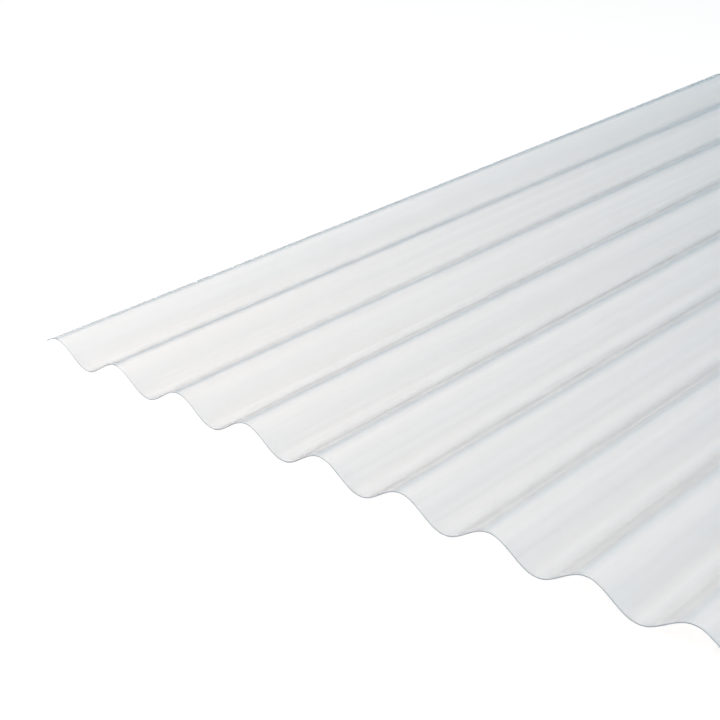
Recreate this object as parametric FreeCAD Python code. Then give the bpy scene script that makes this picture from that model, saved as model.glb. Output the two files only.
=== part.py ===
"""Corrugated roofing sheet of clear rigid PVC, in millimetres.

One sheet, extruded and waved in one piece, with round crests and troughs joined by
straight flanks, and trimmed square on all four sides. X runs across the corrugations, Y
along them and Z up. The origin is under the middle of the sheet, on the plane that its
troughs rest on.
"""

import FreeCAD
import Part

import math
import os

# Driving dimensions
SHEET_LENGTH = 2000.0  # along the corrugations
SHEET_WIDTH = 900.0  # across the corrugations, from trimmed edge to trimmed edge
WAVE_PITCH = 76.0  # from crest to crest
WAVE_DEPTH = 18.0  # from the underside of the troughs to the top of the crests
THICKNESS = 0.8  # of the PVC, the same all over, square to its faces
BEND_RADIUS = 20.0  # of the wall's middle over each crest and under each trough
FIRST_CREST_INSET = 15.0  # from the left edge, which turns down for a side lap, to crest 1

# Sizes that follow from them
HALF_PITCH = WAVE_PITCH / 2
SWING = (WAVE_DEPTH - THICKNESS) / 2  # of the wall's middle above and below its mean
MEAN_HEIGHT = WAVE_DEPTH / 2
BEND_CENTRE_DROP = BEND_RADIUS - SWING  # of a crest's centre under the mean height
FLANK_ANGLE = (math.asin(BEND_RADIUS / math.hypot(HALF_PITCH / 2, BEND_CENTRE_DROP))
               - math.atan2(BEND_CENTRE_DROP, HALF_PITCH / 2))
FIRST_CREST_X = FIRST_CREST_INSET - SHEET_WIDTH / 2
BENDS_LEFT = math.ceil(FIRST_CREST_INSET / HALF_PITCH)  # of crest 1, to cover the left edge
BENDS_RIGHT = math.ceil((SHEET_WIDTH - FIRST_CREST_INSET) / HALF_PITCH)
UPPER, LOWER = 1, -1


def bend(index, side):
    """Start, middle and end of the upper or lower face's arc over one crest or trough.

    Even bends are crests and odd ones troughs. Both faces of a bend share its centre, so
    the wall keeps its thickness.
    """
    up = 1 if index % 2 == 0 else -1
    centre_x = FIRST_CREST_X + index * HALF_PITCH
    centre_z = MEAN_HEIGHT - up * BEND_CENTRE_DROP
    radius = BEND_RADIUS + up * side * THICKNESS / 2
    points = []
    for angle in (-FLANK_ANGLE, 0.0, FLANK_ANGLE):
        x = centre_x + radius * math.sin(angle)
        z = centre_z + up * radius * math.cos(angle)
        points.append(FreeCAD.Vector(x, -SHEET_LENGTH / 2, z))
    return points


def wave_edges(side):
    """Arcs over the bends of one face, with the flanks between them as tangent lines."""
    bends = [bend(index, side) for index in range(-BENDS_LEFT, BENDS_RIGHT + 1)]
    edges = [Part.Arc(start, middle, end).toShape() for start, middle, end in bends]
    for before, after in zip(bends, bends[1:]):
        edges.append(Part.makeLine(before[-1], after[0]))
    return edges, bends[0][0], bends[-1][-1]


def wave_section():
    """Closed section of the strip before trimming, with a whole bend past each long edge."""
    upper, upper_left, upper_right = wave_edges(UPPER)
    lower, lower_left, lower_right = wave_edges(LOWER)
    ends = [Part.makeLine(upper_left, lower_left), Part.makeLine(upper_right, lower_right)]
    outline = Part.Wire(Part.__sortEdges__(upper + lower + ends))
    return Part.Face(outline)


def corrugated_sheet():
    """The strip, extruded to length and trimmed to width by upright cuts."""
    strip = wave_section().extrude(FreeCAD.Vector(0, SHEET_LENGTH, 0))
    trim_corner = FreeCAD.Vector(-SHEET_WIDTH / 2, -SHEET_LENGTH / 2, -WAVE_DEPTH)
    kept_space = Part.makeBox(SHEET_WIDTH, SHEET_LENGTH, 3 * WAVE_DEPTH, trim_corner)
    return strip.common(kept_space).Solids[0]


def main():
    os.makedirs("parts", exist_ok=True)
    corrugated_sheet().exportStep("parts/corrugated_sheet.step")


main()
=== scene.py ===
"""Looks of a corrugated roofing sheet of clear rigid PVC, laid out as a Blender add-on.

The sheet is one wavy piece. Its finish is that of extruded clear PVC: glossy, faintly blue,
with fine die lines along its length, and with sawn ends and edges.
"""

import math

import bpy
from mathutils import Matrix, Vector


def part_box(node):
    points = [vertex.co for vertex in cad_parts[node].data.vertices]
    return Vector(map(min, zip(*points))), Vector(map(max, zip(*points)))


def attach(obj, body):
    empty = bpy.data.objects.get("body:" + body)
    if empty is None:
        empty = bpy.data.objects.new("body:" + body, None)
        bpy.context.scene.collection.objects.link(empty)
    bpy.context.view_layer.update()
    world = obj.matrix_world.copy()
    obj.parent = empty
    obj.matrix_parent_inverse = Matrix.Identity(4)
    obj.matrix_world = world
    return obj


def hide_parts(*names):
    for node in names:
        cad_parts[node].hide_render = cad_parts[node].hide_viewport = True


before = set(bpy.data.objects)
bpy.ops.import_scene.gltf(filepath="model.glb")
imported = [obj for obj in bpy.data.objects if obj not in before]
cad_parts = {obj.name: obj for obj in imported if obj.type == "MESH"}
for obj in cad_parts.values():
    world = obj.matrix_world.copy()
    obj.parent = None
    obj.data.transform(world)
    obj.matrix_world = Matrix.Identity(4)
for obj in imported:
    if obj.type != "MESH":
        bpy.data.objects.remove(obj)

bl_info = {
    "name": "Corrugated PVC Roofing Sheet",
    "version": (1, 0, 0),
    "blender": (4, 5, 0),
    "location": "3D View > Sidebar > Roofing Sheet",
    "description": "Makes a clear corrugated PVC roofing sheet, and a studio floor, light and camera",
    "category": "Add Mesh",
}

SHEET_NODE = "corrugated_sheet"
MM = 0.001
PVC_IOR = 1.54  # of rigid PVC
SENSOR_WIDTH = 36.0  # of the camera, in millimetres, as its lens is too
LOW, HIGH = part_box(SHEET_NODE)
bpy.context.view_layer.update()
MIX_FACTOR, MIX_A, MIX_B, MIX_RESULT = 0, 6, 7, 2  # a Mix node's sockets for colours


def linear(hex_colour):
    """Linear RGBA of an sRGB hex colour."""
    channels = [int(hex_colour[i:i + 2], 16) / 255 for i in (1, 3, 5)]
    return [c / 12.92 if c <= 0.04045 else ((c + 0.055) / 1.055) ** 2.4 for c in channels] + [1.0]


def add_node(tree, kind, settings=None, inputs=None):
    """Adds a node, sets its properties, and sets or links its inputs by name or number."""
    node = tree.nodes.new(kind)
    for name, value in (settings or {}).items():
        setattr(node, name, value)
    for key, value in (inputs or {}).items():
        if isinstance(value, bpy.types.NodeSocket):
            tree.links.new(value, node.inputs[key])
        else:
            node.inputs[key].default_value = value
    return node


def new_material(name):
    """An empty node material and its output node."""
    material = bpy.data.materials.new(name)
    material.use_nodes = True
    material.node_tree.nodes.clear()
    return material, add_node(material.node_tree, "ShaderNodeOutputMaterial")


class SheetSizes(bpy.types.PropertyGroup):
    """Sizes of the sheet and of the mesh that shows it."""

    length: bpy.props.FloatProperty(
        name="Length", description="Along the corrugations", default=HIGH.y - LOW.y,
        unit="LENGTH", subtype="DISTANCE")
    width: bpy.props.FloatProperty(
        name="Width", description="Across the corrugations", default=HIGH.x - LOW.x,
        unit="LENGTH", subtype="DISTANCE")
    depth: bpy.props.FloatProperty(
        name="Depth", description="From under the troughs to the top of the crests",
        default=HIGH.z - LOW.z, unit="LENGTH", subtype="DISTANCE")
    pitch: bpy.props.FloatProperty(
        name="Pitch", description="From crest to crest", default=76 * MM,
        unit="LENGTH", subtype="DISTANCE")
    thickness: bpy.props.FloatProperty(
        name="Thickness", description="Of the PVC", default=0.8 * MM, precision=4,
        unit="LENGTH", subtype="DISTANCE")
    first_crest_inset: bpy.props.FloatProperty(
        name="First crest", description="From the left edge to the first crest",
        default=15 * MM, unit="LENGTH", subtype="DISTANCE")
    columns: bpy.props.IntProperty(
        name="Columns", description="Of points, that the mesh has across the sheet",
        default=960, min=24)


class SheetColours(bpy.types.PropertyGroup):
    """Colours of the sheet's clear faces and of its sawn ends."""

    clear: bpy.props.FloatVectorProperty(
        name="Clear PVC", description="Of the faces between the die lines", subtype="COLOR",
        size=4, default=linear("#F7FAFC"), min=0, max=1)
    die_line: bpy.props.FloatVectorProperty(
        name="Die lines", description="Of the faces in the die lines", subtype="COLOR",
        size=4, default=linear("#EEF1F3"), min=0, max=1)
    passed: bpy.props.FloatVectorProperty(
        name="Passed light", description="Share of lamp light that one face lets through",
        subtype="COLOR", size=4, default=linear("#F1F2F2"), min=0, max=1)
    # Painted shade: the sawn ends' blue-grey stands in for the darker, bluer look that light coming
    # out end on gives a cut edge. Only the frosting belongs to the PVC itself.
    sawn: bpy.props.FloatVectorProperty(
        name="Sawn ends", description="Of the frosted cut ends and edges", subtype="COLOR",
        size=4, default=linear("#B4C1CB"), min=0, max=1)


class StudioSettings(bpy.types.PropertyGroup):
    """Place of the camera, and colours and levels of the studio."""

    camera_place: bpy.props.FloatVectorProperty(
        name="Camera place", description="In the frame of the sheet", subtype="TRANSLATION",
        default=(0.5066, -1.6537, 0.5376), unit="LENGTH")
    camera_azimuth: bpy.props.FloatProperty(
        name="Azimuth", description="Of the camera, from the front towards the right",
        subtype="ANGLE", default=math.radians(42.43))
    camera_elevation: bpy.props.FloatProperty(
        name="Elevation", description="By which the camera looks down", subtype="ANGLE",
        default=math.radians(25.91))
    camera_roll: bpy.props.FloatProperty(
        name="Roll", description="Of the camera about its own line of sight",
        subtype="ANGLE", default=math.radians(-0.77))
    lens: bpy.props.FloatProperty(
        name="Lens", description=f"Focal length for a sensor {SENSOR_WIDTH:.0f} mm wide",
        default=73.49, unit="CAMERA")
    floor: bpy.props.FloatVectorProperty(
        name="Floor", description="Of the studio floor", subtype="COLOR", size=4,
        default=linear("#E8E8E8"), min=0, max=1)
    floor_lift: bpy.props.FloatProperty(
        name="Floor lift", description="Light that the floor adds for rays that look at it",
        default=0.43, min=0, max=1, subtype="FACTOR")
    floor_radius: bpy.props.FloatProperty(
        name="Floor radius", description="Of the round floor", default=400.0,
        unit="LENGTH", subtype="DISTANCE")
    overhead: bpy.props.FloatVectorProperty(
        name="Overhead", description="Of the soft light from above", subtype="COLOR",
        size=4, default=linear("#EDE8E2"), min=0, max=1)
    overhead_from: bpy.props.FloatProperty(
        name="Overhead from", description="Sine of the angle where the light is all overhead",
        default=0.8, min=0, max=1, subtype="FACTOR")
    low_band: bpy.props.FloatVectorProperty(
        name="Low band", description="Of the soft light from low down", subtype="COLOR",
        size=4, default=linear("#4F8DA8"), min=0, max=1)
    low_band_from: bpy.props.FloatProperty(
        name="Low band from", description="Sine of the angle where the light is all low band",
        default=0.2, min=0, max=1, subtype="FACTOR")
    low_band_to: bpy.props.FloatProperty(
        name="Low band to", description="Sine of the angle where the light starts to whiten",
        default=0.35, min=0, max=1, subtype="FACTOR")
    skyline: bpy.props.FloatVectorProperty(
        name="Skyline", description="Of the soft light level with the floor",
        subtype="COLOR", size=4, default=linear("#C6D4DC"), min=0, max=1)
    lamp_place: bpy.props.FloatVectorProperty(
        name="Lamp place", description="Low over the near left corner",
        subtype="TRANSLATION", default=(-1.1, -1.7, 1.1), unit="LENGTH")
    lamp_aim: bpy.props.FloatVectorProperty(
        name="Lamp aim", description="Point of the sheet that the lamp faces",
        subtype="TRANSLATION", default=(-0.3, -0.8, 0.0), unit="LENGTH")
    lamp_size: bpy.props.FloatProperty(
        name="Lamp size", description="Side of the square soft box", default=1.2,
        unit="LENGTH", subtype="DISTANCE")
    lamp_power: bpy.props.FloatProperty(
        name="Lamp power", description="Of the soft box", default=13.6, min=0, unit="POWER")
    lamp_colour: bpy.props.FloatVectorProperty(
        name="Lamp colour", description="Warm white of the soft box", subtype="COLOR",
        size=4, default=linear("#FFE8DC"), min=0, max=1)


def profile_group():
    """Geometry Nodes: a flat slab, bent into sine waves of even wall, in two materials."""
    tree = bpy.data.node_groups.new("Corrugated sheet", "GeometryNodeTree")
    for name in ("Length", "Width", "Depth", "Pitch", "Thickness", "First crest inset"):
        tree.interface.new_socket(name, in_out="INPUT", socket_type="NodeSocketFloat")
    tree.interface.new_socket("Columns", in_out="INPUT", socket_type="NodeSocketInt")
    for name in ("Faces", "Sawn ends"):
        tree.interface.new_socket(name, in_out="INPUT", socket_type="NodeSocketMaterial")
    tree.interface.new_socket("Sheet", in_out="OUTPUT", socket_type="NodeSocketGeometry")
    given = add_node(tree, "NodeGroupInput").outputs
    size = add_node(tree, "ShaderNodeCombineXYZ", inputs={
        "X": given["Width"], "Y": given["Length"], "Z": given["Thickness"]})
    uncut = 2  # points along the slab and through it, on its outsides only
    slab = add_node(tree, "GeometryNodeMeshCube", inputs={
        "Size": size.outputs[0], "Vertices X": given["Columns"],
        "Vertices Y": uncut, "Vertices Z": uncut})

    # The wall's middle follows a cosine, and a slope stretches the wall to keep it even.
    place = add_node(tree, "GeometryNodeInputPosition")
    at = add_node(tree, "ShaderNodeSeparateXYZ", inputs={0: place.outputs[0]}).outputs
    from_left = add_node(tree, "ShaderNodeMath", {"operation": "MULTIPLY_ADD"}, {
        0: given["Width"], 1: 0.5, 2: at["X"]})
    past_crest = add_node(tree, "ShaderNodeMath", {"operation": "SUBTRACT"}, {
        0: from_left.outputs[0], 1: given["First crest inset"]})
    turn = add_node(tree, "ShaderNodeMath", {"operation": "DIVIDE"}, {
        0: math.tau, 1: given["Pitch"]})
    angle = add_node(tree, "ShaderNodeMath", {"operation": "MULTIPLY"}, {
        0: past_crest.outputs[0], 1: turn.outputs[0]})
    cosine = add_node(tree, "ShaderNodeMath", {"operation": "COSINE"}, {0: angle.outputs[0]})
    sine = add_node(tree, "ShaderNodeMath", {"operation": "SINE"}, {0: angle.outputs[0]})
    travel = add_node(tree, "ShaderNodeMath", {"operation": "SUBTRACT"}, {
        0: given["Depth"], 1: given["Thickness"]})
    swing = add_node(tree, "ShaderNodeMath", {"operation": "MULTIPLY"}, {
        0: travel.outputs[0], 1: 0.5})
    rise = add_node(tree, "ShaderNodeMath", {"operation": "MULTIPLY"}, {
        0: swing.outputs[0], 1: cosine.outputs[0]})
    middle = add_node(tree, "ShaderNodeMath", {"operation": "MULTIPLY_ADD"}, {
        0: given["Depth"], 1: 0.5, 2: rise.outputs[0]})
    steepest = add_node(tree, "ShaderNodeMath", {"operation": "MULTIPLY"}, {
        0: swing.outputs[0], 1: turn.outputs[0]})
    slope = add_node(tree, "ShaderNodeMath", {"operation": "MULTIPLY"}, {
        0: steepest.outputs[0], 1: sine.outputs[0]})
    squared = add_node(tree, "ShaderNodeMath", {"operation": "MULTIPLY_ADD"}, {
        0: slope.outputs[0], 1: slope.outputs[0], 2: 1.0})
    stretch = add_node(tree, "ShaderNodeMath", {"operation": "SQRT"}, {0: squared.outputs[0]})
    height = add_node(tree, "ShaderNodeMath", {"operation": "MULTIPLY_ADD"}, {
        0: at["Z"], 1: stretch.outputs[0], 2: middle.outputs[0]})
    bent = add_node(tree, "ShaderNodeCombineXYZ", inputs={
        "X": at["X"], "Y": at["Y"], "Z": height.outputs[0]})
    waves = add_node(tree, "GeometryNodeSetPosition", inputs={
        "Geometry": slab.outputs["Mesh"], "Position": bent.outputs[0]})

    # Corners stay crisp. A normal's Z is over 0.8 on the waves, and 0 on the cut faces.
    corner_angle, cut_limit = math.radians(45), 0.5
    corner = add_node(tree, "GeometryNodeInputMeshEdgeAngle")
    is_corner = add_node(tree, "ShaderNodeMath", {"operation": "GREATER_THAN"}, {
        0: corner.outputs["Unsigned Angle"], 1: corner_angle})
    crisp = add_node(tree, "GeometryNodeSetShadeSmooth", {"domain": "EDGE"}, {
        "Geometry": waves.outputs[0], "Selection": is_corner.outputs[0],
        "Shade Smooth": False})
    normal = add_node(tree, "GeometryNodeInputNormal")
    facing = add_node(tree, "ShaderNodeSeparateXYZ", inputs={0: normal.outputs[0]}).outputs
    uprightness = add_node(tree, "ShaderNodeMath", {"operation": "ABSOLUTE"}, {0: facing["Z"]})
    is_cut = add_node(tree, "ShaderNodeMath", {"operation": "LESS_THAN"}, {
        0: uprightness.outputs[0], 1: cut_limit})
    smooth = add_node(tree, "GeometryNodeSetShadeSmooth", inputs={
        "Geometry": crisp.outputs[0], "Shade Smooth": True})
    whole = add_node(tree, "GeometryNodeRealizeInstances", inputs={0: smooth.outputs[0]})
    faces = add_node(tree, "GeometryNodeSetMaterial", inputs={
        "Geometry": whole.outputs[0], "Material": given["Faces"]})
    ends = add_node(tree, "GeometryNodeSetMaterial", inputs={
        "Geometry": faces.outputs[0], "Selection": is_cut.outputs[0],
        "Material": given["Sawn ends"]})
    add_node(tree, "NodeGroupOutput", inputs={0: ends.outputs[0]})
    return tree


def extruded_clear_pvc(colours):
    """Extruded clear rigid PVC: glossy and see-through, a little milky, with die lines.

    The die lines run along the sheet. They are 1 to 4 mm apart and only microns deep, so
    they show as faint streaks. Swells about as wide as half a wave bend its mirror images
    a little. Lamps reach the floor through the sheet.
    """
    material, output = new_material("Extruded clear PVC")
    tree = material.node_tree
    place = add_node(tree, "ShaderNodeTexCoord")
    die_line_pitch, die_line_length, die_line_depth = 4 * MM, 1.2, 0.004 * MM
    finer_lines, finer_share = 2.0, 0.6  # layers, each half as wide and 0.6 as strong
    along = add_node(tree, "ShaderNodeMapping", inputs={
        "Vector": place.outputs["Object"],
        "Scale": (1 / die_line_pitch, 1 / die_line_length, 0.0)})
    lines = add_node(tree, "ShaderNodeTexNoise", inputs={
        "Vector": along.outputs[0], "Scale": 1.0, "Detail": finer_lines,
        "Roughness": finer_share})
    bare_face, full_line = 0.1, 0.9  # the noise's lowest and highest values, or nearly
    streaks = add_node(tree, "ShaderNodeMapRange", inputs={
        "Value": lines.outputs["Fac"], "From Min": bare_face, "From Max": full_line})
    swell_pitch, swell_length, swell_depth = 45 * MM, 0.7, 0.035 * MM
    finer_swells = 1.0  # layer, half as wide
    across = add_node(tree, "ShaderNodeMapping", inputs={
        "Vector": place.outputs["Object"],
        "Scale": (1 / swell_pitch, 1 / swell_length, 0.0)})
    swells = add_node(tree, "ShaderNodeTexNoise", inputs={
        "Vector": across.outputs[0], "Scale": 1.0, "Detail": finer_swells})
    colour = add_node(tree, "ShaderNodeMix", {"data_type": "RGBA"}, {
        MIX_FACTOR: streaks.outputs[0], MIX_A: list(colours.clear),
        MIX_B: list(colours.die_line)})
    polished, dulled = 0.12, 0.22
    roughness = add_node(tree, "ShaderNodeMapRange", inputs={
        "Value": streaks.outputs[0], "To Min": polished, "To Max": dulled})
    swelled = add_node(tree, "ShaderNodeBump", inputs={
        "Strength": 1.0, "Distance": swell_depth, "Height": swells.outputs["Fac"]})
    lined = add_node(tree, "ShaderNodeBump", inputs={
        "Strength": 1.0, "Distance": die_line_depth, "Height": lines.outputs["Fac"],
        "Normal": swelled.outputs[0]})
    clearness = 0.8  # the rest is milky
    surface = add_node(tree, "ShaderNodeBsdfPrincipled", inputs={
        "Base Color": colour.outputs[MIX_RESULT], "Roughness": roughness.outputs[0],
        "IOR": PVC_IOR, "Transmission Weight": clearness, "Normal": lined.outputs[0]})
    passed = add_node(tree, "ShaderNodeBsdfTransparent", inputs={
        "Color": list(colours.passed)})
    path = add_node(tree, "ShaderNodeLightPath").outputs
    sheet = add_node(tree, "ShaderNodeMixShader", inputs={
        0: path["Is Shadow Ray"], 1: surface.outputs[0], 2: passed.outputs[0]})
    tree.links.new(sheet.outputs[0], output.inputs["Surface"])
    return material


def sawn_pvc(colours):
    """Sawn PVC: frosted by the blade's teeth. Its blue-grey colour is painted shade: it stands in for
    the darker, bluer look that a cut edge has because light comes out end on.
    """
    material, output = new_material("Sawn PVC")
    tree = material.node_tree
    place = add_node(tree, "ShaderNodeTexCoord")
    tooth_mark, mark_depth, mark_strength = 0.5 * MM, 0.05 * MM, 0.6
    finer_marks = 2.0  # layers, each half as wide
    marks = add_node(tree, "ShaderNodeTexNoise", inputs={
        "Vector": place.outputs["Object"], "Scale": 1 / tooth_mark, "Detail": finer_marks})
    scratches = add_node(tree, "ShaderNodeBump", inputs={
        "Strength": mark_strength, "Distance": mark_depth, "Height": marks.outputs["Fac"]})
    frosted, clearness = 0.45, 0.3
    # The base colour is painted shade, for the light that comes out of the cut edge end on.
    surface = add_node(tree, "ShaderNodeBsdfPrincipled", inputs={
        "Base Color": list(colours.sawn), "Roughness": frosted, "IOR": PVC_IOR,
        "Transmission Weight": clearness, "Normal": scratches.outputs[0]})
    tree.links.new(surface.outputs[0], output.inputs["Surface"])
    return material


def studio_floor(studio):
    """Matt white studio floor, lifted to full white for rays that look at it.

    The lift is even, so the floor still shows the shade under the sheet.
    """
    material, output = new_material("Matt white studio floor")
    tree = material.node_tree
    path = add_node(tree, "ShaderNodeLightPath").outputs
    mirrors = add_node(tree, "ShaderNodeMath", {"operation": "MAXIMUM"}, {
        0: path["Is Camera Ray"], 1: path["Is Glossy Ray"]})
    looks = add_node(tree, "ShaderNodeMath", {"operation": "MAXIMUM"}, {
        0: mirrors.outputs[0], 1: path["Is Transmission Ray"]})
    lift = add_node(tree, "ShaderNodeMath", {"operation": "MULTIPLY"}, {
        0: looks.outputs[0], 1: studio.floor_lift})
    matt = add_node(tree, "ShaderNodeBsdfDiffuse", inputs={"Color": list(studio.floor)})
    glow = add_node(tree, "ShaderNodeEmission", inputs={"Strength": lift.outputs[0]})
    both = add_node(tree, "ShaderNodeAddShader", inputs={
        0: matt.outputs[0], 1: glow.outputs[0]})
    tree.links.new(both.outputs[0], output.inputs["Surface"])
    return material


def studio_world(studio):
    """Soft light from all round: warm white overhead, blue-grey lower, pale at the floor."""
    world = bpy.data.worlds.new("Studio light")
    world.use_nodes = True
    tree = world.node_tree
    tree.nodes.clear()
    towards = add_node(tree, "ShaderNodeTexCoord")
    up = add_node(tree, "ShaderNodeSeparateXYZ", inputs={0: towards.outputs["Generated"]})
    off_floor = add_node(tree, "ShaderNodeMapRange", inputs={
        "Value": up.outputs["Z"], "From Max": studio.low_band_from})
    low = add_node(tree, "ShaderNodeMix", {"data_type": "RGBA"}, {
        MIX_FACTOR: off_floor.outputs[0], MIX_A: list(studio.skyline),
        MIX_B: list(studio.low_band)})
    rise = add_node(tree, "ShaderNodeMapRange", inputs={
        "Value": up.outputs["Z"], "From Min": studio.low_band_to,
        "From Max": studio.overhead_from})
    colour = add_node(tree, "ShaderNodeMix", {"data_type": "RGBA"}, {
        MIX_FACTOR: rise.outputs[0], MIX_A: low.outputs[MIX_RESULT],
        MIX_B: list(studio.overhead)})
    light = add_node(tree, "ShaderNodeBackground", inputs={
        "Color": colour.outputs[MIX_RESULT]})
    output = add_node(tree, "ShaderNodeOutputWorld")
    tree.links.new(light.outputs[0], output.inputs["Surface"])
    bpy.context.scene.world = world


class ROOFING_OT_add_sheet(bpy.types.Operator):
    """Makes the clear corrugated sheet in place of the plain one"""

    bl_idname = "roofing.add_sheet"
    bl_label = "Add Corrugated Sheet"

    def execute(self, context):
        sizes = context.scene.roofing_sizes
        colours = context.scene.roofing_colours
        mesh = bpy.data.meshes.new("clear_sheet")
        sheet = bpy.data.objects.new("clear_sheet", mesh)
        context.scene.collection.objects.link(sheet)
        tree = profile_group()
        values = {
            "Length": sizes.length, "Width": sizes.width, "Depth": sizes.depth,
            "Pitch": sizes.pitch, "Thickness": sizes.thickness,
            "First crest inset": sizes.first_crest_inset, "Columns": sizes.columns,
            "Faces": extruded_clear_pvc(colours), "Sawn ends": sawn_pvc(colours),
        }
        waves = sheet.modifiers.new("Waves", "NODES")
        waves.node_group = tree
        for socket in tree.interface.items_tree:
            if socket.in_out == "INPUT":
                waves[socket.identifier] = values[socket.name]
        graph = context.evaluated_depsgraph_get()
        sheet.data = bpy.data.meshes.new_from_object(sheet.evaluated_get(graph), depsgraph=graph)
        sheet.modifiers.remove(waves)
        bpy.data.meshes.remove(mesh)
        if not sheet.data.polygons:
            raise RuntimeError("the sheet came out empty")
        materials = sheet.data.materials
        while None in list(materials):
            materials.pop(index=list(materials).index(None))  # the slab's own empty slot
        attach(sheet, "root")
        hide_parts(SHEET_NODE)
        return {"FINISHED"}


class ROOFING_OT_add_stage(bpy.types.Operator):
    """Makes the studio: a white floor, soft light and the camera"""

    bl_idname = "roofing.add_stage"
    bl_label = "Add Studio"

    def execute(self, context):
        studio = context.scene.roofing_studio
        self.add_floor(context, studio)
        studio_world(studio)
        self.add_lamp(context, studio)
        self.add_camera(context, studio)
        context.scene.view_settings.view_transform = "Standard"
        return {"FINISHED"}

    def add_floor(self, context, studio):
        """One round face, level with the underside of the troughs."""
        mesh = bpy.data.meshes.new("studio_floor")
        radius, rim_points = studio.floor_radius, 96
        turns = [math.tau * point / rim_points for point in range(rim_points)]
        rim = [(math.cos(turn) * radius, math.sin(turn) * radius, 0.0) for turn in turns]
        mesh.from_pydata(rim, [], [list(range(rim_points))])
        mesh.materials.append(studio_floor(studio))
        floor = bpy.data.objects.new("studio_floor", mesh)
        context.scene.collection.objects.link(floor)

    def add_lamp(self, context, studio):
        """One square soft box, turned towards its aim."""
        light = bpy.data.lights.new("soft_box", "AREA")
        light.shape = "SQUARE"
        light.size = studio.lamp_size
        light.energy = studio.lamp_power
        light.color = studio.lamp_colour[:3]
        lamp = bpy.data.objects.new("soft_box", light)
        aim = Vector(studio.lamp_aim) - Vector(studio.lamp_place)
        lamp.matrix_world = (Matrix.Translation(studio.lamp_place)
                             @ aim.to_track_quat("-Z", "Y").to_matrix().to_4x4())
        context.scene.collection.objects.link(lamp)

    def add_camera(self, context, studio):
        """The camera, whose view reaches past the floor's rim."""
        data = bpy.data.cameras.new("camera")
        data.lens = studio.lens
        data.sensor_width = SENSOR_WIDTH
        data.clip_end = 2 * studio.floor_radius
        camera = bpy.data.objects.new("camera", data)
        camera.matrix_world = (
            Matrix.Translation(studio.camera_place)
            @ Matrix.Rotation(studio.camera_azimuth, 4, "Z")
            @ Matrix.Rotation(math.pi / 2 - studio.camera_elevation, 4, "X")
            @ Matrix.Rotation(studio.camera_roll, 4, "Z"))
        context.scene.collection.objects.link(camera)
        context.scene.camera = camera


class ROOFING_PT_panel(bpy.types.Panel):
    """Lists the sheet's sizes and colours, and the steps that make it"""

    bl_idname = "ROOFING_PT_panel"
    bl_label = "Roofing Sheet"
    bl_space_type = "VIEW_3D"
    bl_region_type = "UI"
    bl_category = "Roofing Sheet"

    def draw(self, context):
        scene = context.scene
        for group in (scene.roofing_sizes, scene.roofing_colours, scene.roofing_studio):
            box = self.layout.box()
            for name in group.__annotations__:
                box.prop(group, name)
        for operator in (ROOFING_OT_add_sheet, ROOFING_OT_add_stage):
            self.layout.operator(operator.bl_idname)


CLASSES = (SheetSizes, SheetColours, StudioSettings, ROOFING_OT_add_sheet,
           ROOFING_OT_add_stage, ROOFING_PT_panel)


def register():
    for cls in CLASSES:
        bpy.utils.register_class(cls)
    bpy.types.Scene.roofing_sizes = bpy.props.PointerProperty(type=SheetSizes)
    bpy.types.Scene.roofing_colours = bpy.props.PointerProperty(type=SheetColours)
    bpy.types.Scene.roofing_studio = bpy.props.PointerProperty(type=StudioSettings)


def unregister():
    for name in ("roofing_sizes", "roofing_colours", "roofing_studio"):
        delattr(bpy.types.Scene, name)
    for cls in reversed(CLASSES):
        bpy.utils.unregister_class(cls)


def main():
    register()
    bpy.ops.roofing.add_sheet()
    bpy.ops.roofing.add_stage()


if __name__ == "__main__":
    main()
